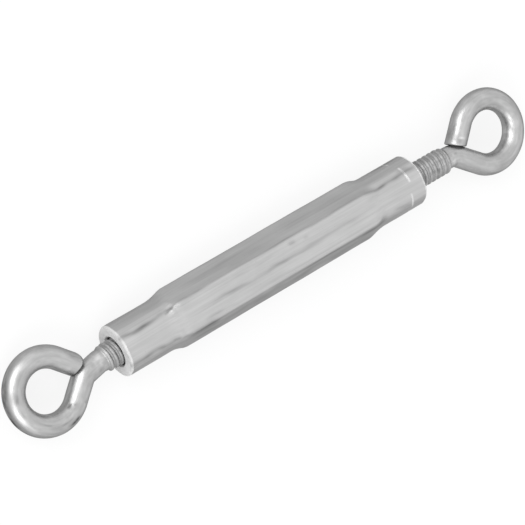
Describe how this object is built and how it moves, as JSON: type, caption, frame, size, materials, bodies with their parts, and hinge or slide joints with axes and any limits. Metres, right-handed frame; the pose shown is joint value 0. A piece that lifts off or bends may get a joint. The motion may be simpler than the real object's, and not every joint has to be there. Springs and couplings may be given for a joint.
{
  "type": "rigging turnbuckle",
  "caption": "Eye-and-eye rigging turnbuckle: hexagon barrel with swaged ends and two bent-wire eye bolts on opposite-hand threads that draw in together.",
  "frame": {"origin": "on the screw axis, half-way between the outer ends of the two eyes", "axes": "+X along the screw axis towards the left-hand end, +Z square to two of the barrel's flats"},
  "size_m": [0.1104, 0.0155, 0.0096],
  "materials": {
    "barrel_aluminium": "satin, drawn, with fine lengthways lines",
    "bolt_zinc": "bright zinc plate on drawn steel wire"
  },
  "bodies": {
    "barrel": {"barrel": "barrel_aluminium"},
    "right_hand_eye": {"right_hand_eye_bolt": "bolt_zinc"},
    "left_hand_eye": {"left_hand_eye_bolt": "bolt_zinc"}
  },
  "joints": [
    {"name": "right_hand_screw", "type": "slide", "parent": "barrel", "child": "right_hand_eye", "axis": [-1, 0, 0], "range_m": [-0.0027, 0.0143]},
    {"name": "left_hand_screw", "type": "slide", "parent": "barrel", "child": "left_hand_eye", "axis": [1, 0, 0], "range_m": [-0.0027, 0.0143]}
  ],
  "couplings": [
    {"joint": "left_hand_screw", "follows": "right_hand_screw", "ratio": 1}
  ]
}
